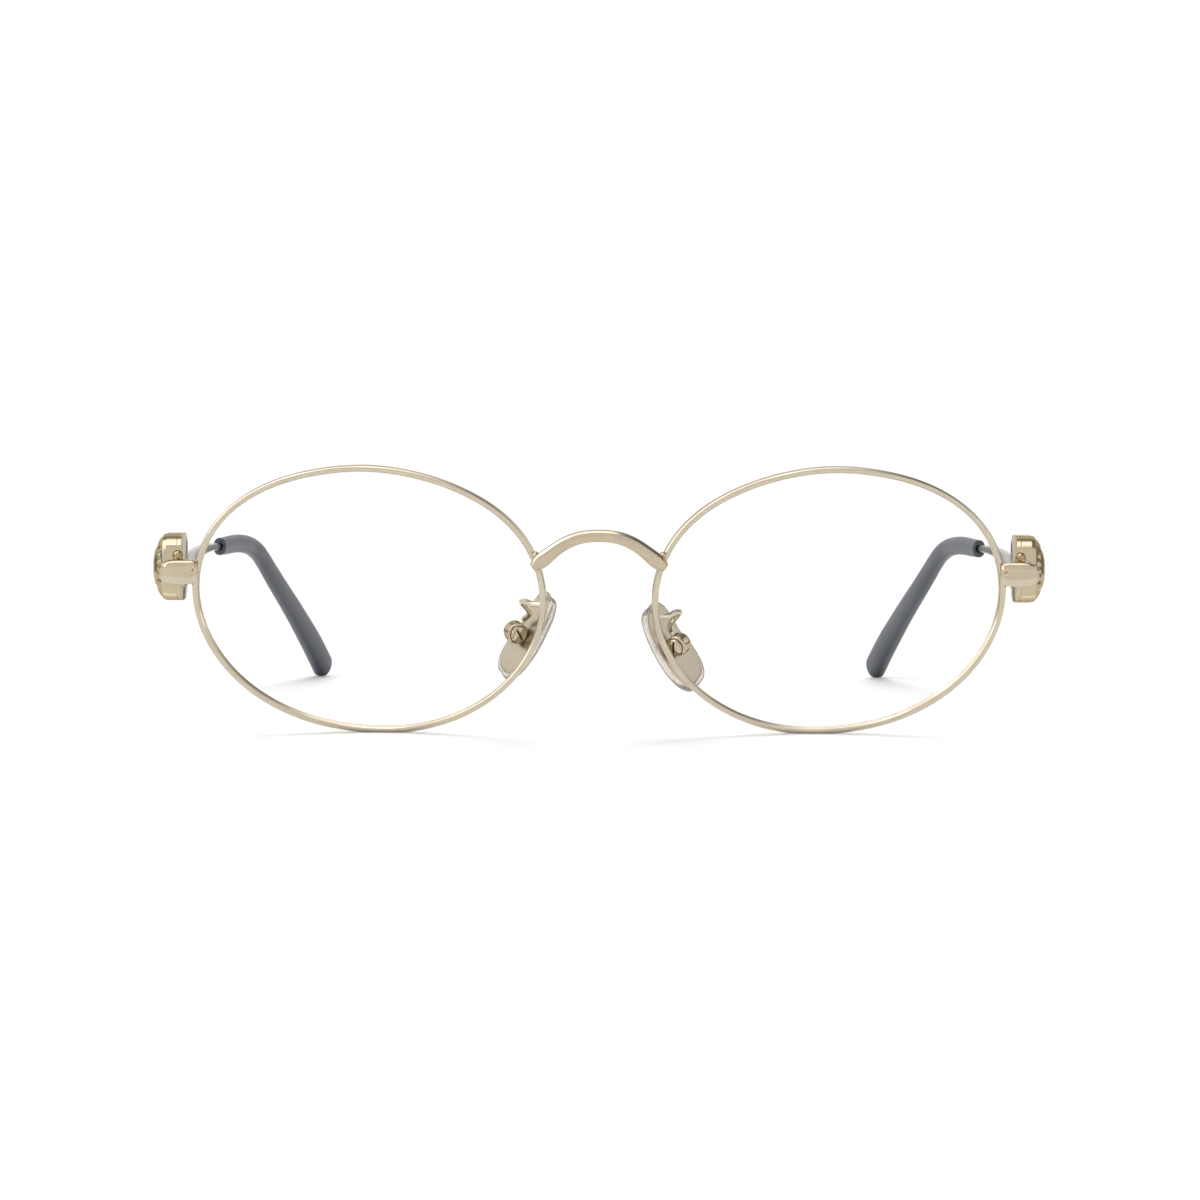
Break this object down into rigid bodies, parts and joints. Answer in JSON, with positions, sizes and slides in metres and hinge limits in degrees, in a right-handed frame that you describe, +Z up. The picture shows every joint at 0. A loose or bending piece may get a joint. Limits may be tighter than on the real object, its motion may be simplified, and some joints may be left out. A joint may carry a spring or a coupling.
{
  "type": "eyeglass frame",
  "caption": "Full-rim metal eyeglass frame with oval rims, a curved bridge, rocking nose pads, domed temple medallions and folding temples with sleeved tips.",
  "frame": {"origin": "on the standing surface, under the middle of the open frame left to right and front to back", "axes": "+X to the wearer's left, +Y from the rims back along the temples, +Z up with the open frame standing on its rims and tips"},
  "size_m": [0.1402, 0.1464, 0.0415],
  "materials": {
    "frame_gold": "champagne gold plating, polished",
    "ornament_gold": "yellow gold plating, polished",
    "pale_gold": "pale champagne gold plating, satin",
    "tip_slate": "slate grey acetate, soft gloss",
    "pad_silicone": "clear silicone, glossy"
  },
  "bodies": {
    "front": {"bridge": "frame_gold", "eyewire_left": "frame_gold", "rim_lock_upper_left": "frame_gold", "rim_lock_lower_left": "frame_gold", "rim_lock_screw_left": "frame_gold", "end_piece_left": "frame_gold", "hinge_front_left": "frame_gold", "hinge_screw_left": "ornament_gold", "pad_arm_left": "frame_gold", "pad_box_left": "frame_gold", "pad_screw_left": "frame_gold", "eyewire_right": "frame_gold", "rim_lock_upper_right": "frame_gold", "rim_lock_lower_right": "frame_gold", "rim_lock_screw_right": "frame_gold", "end_piece_right": "frame_gold", "hinge_front_right": "frame_gold", "hinge_screw_right": "ornament_gold", "pad_arm_right": "frame_gold", "pad_box_right": "frame_gold", "pad_screw_right": "frame_gold"},
    "temple_left": {"hinge_temple_left": "pale_gold", "temple_arm_left": "pale_gold", "medallion_left": "ornament_gold", "temple_tip_left": "tip_slate"},
    "temple_right": {"hinge_temple_right": "pale_gold", "temple_arm_right": "pale_gold", "medallion_right": "ornament_gold", "temple_tip_right": "tip_slate"},
    "nose_pad_left": {"pad_plate_left": "frame_gold", "pad_cushion_left": "pad_silicone"},
    "nose_pad_right": {"pad_plate_right": "frame_gold", "pad_cushion_right": "pad_silicone"}
  },
  "joints": [
    {"name": "temple_fold_left", "type": "hinge", "parent": "front", "child": "temple_left", "pos_m": [0.0656, -0.06349, 0.02475], "axis": [0, 0, 1], "range_deg": [0, 82]},
    {"name": "temple_fold_right", "type": "hinge", "parent": "front", "child": "temple_right", "pos_m": [-0.0656, -0.06349, 0.02475], "axis": [0, 0, -1], "range_deg": [0, 72]},
    {"name": "pad_rock_left", "type": "hinge", "parent": "front", "child": "nose_pad_left", "pos_m": [0.0124, -0.06159, 0.0134], "axis": [0.5192, 0.788, 0.3308], "range_deg": [-10, 10]},
    {"name": "pad_rock_right", "type": "hinge", "parent": "front", "child": "nose_pad_right", "pos_m": [-0.01295, -0.06119, 0.0152], "axis": [-0.3958, 0.887, 0.2378], "range_deg": [-10, 10]}
  ]
}
